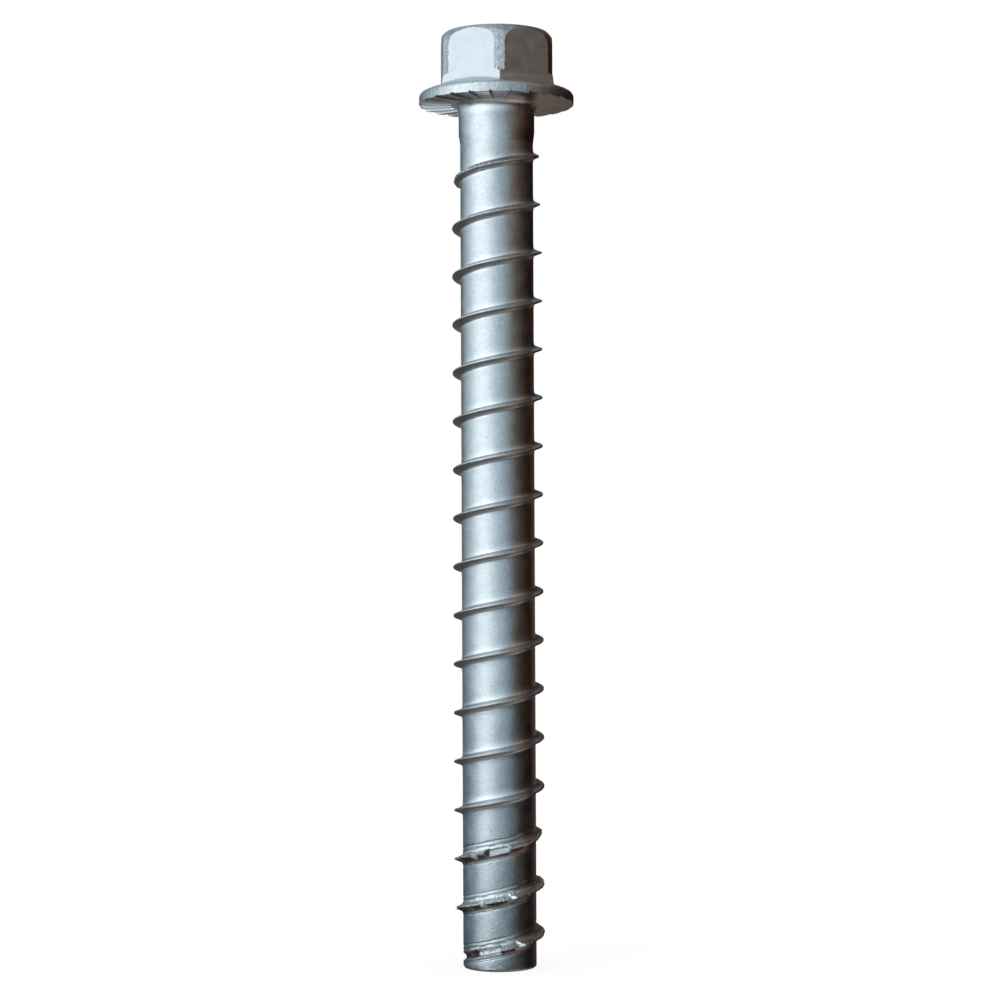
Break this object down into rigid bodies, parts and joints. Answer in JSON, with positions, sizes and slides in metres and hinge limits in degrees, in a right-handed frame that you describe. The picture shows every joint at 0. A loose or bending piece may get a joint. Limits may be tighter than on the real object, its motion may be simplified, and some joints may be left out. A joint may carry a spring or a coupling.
{
  "type": "concrete screw",
  "caption": "Long steel screw with a serrated hex flange head and a coarse thread with cutting teeth near its flat tip, driven into a hole drilled in concrete.",
  "frame": {"origin": "centre of the bearing plane, where the serrated underside of the flange meets the surface it clamps", "axes": "+Z along the screw's axis towards the top of the head; -Y is the side that faces the camera, with a hex corner near it; the shank runs down -Z to the tip"},
  "size_m": [0.027, 0.027, 0.1619],
  "materials": {
    "zinc_steel": "satin zinc plating, finely grained, with dull mottling and burrs on the cutting teeth"
  },
  "bodies": {
    "root": {"concrete_screw": "zinc_steel"}
  },
  "joints": []
}
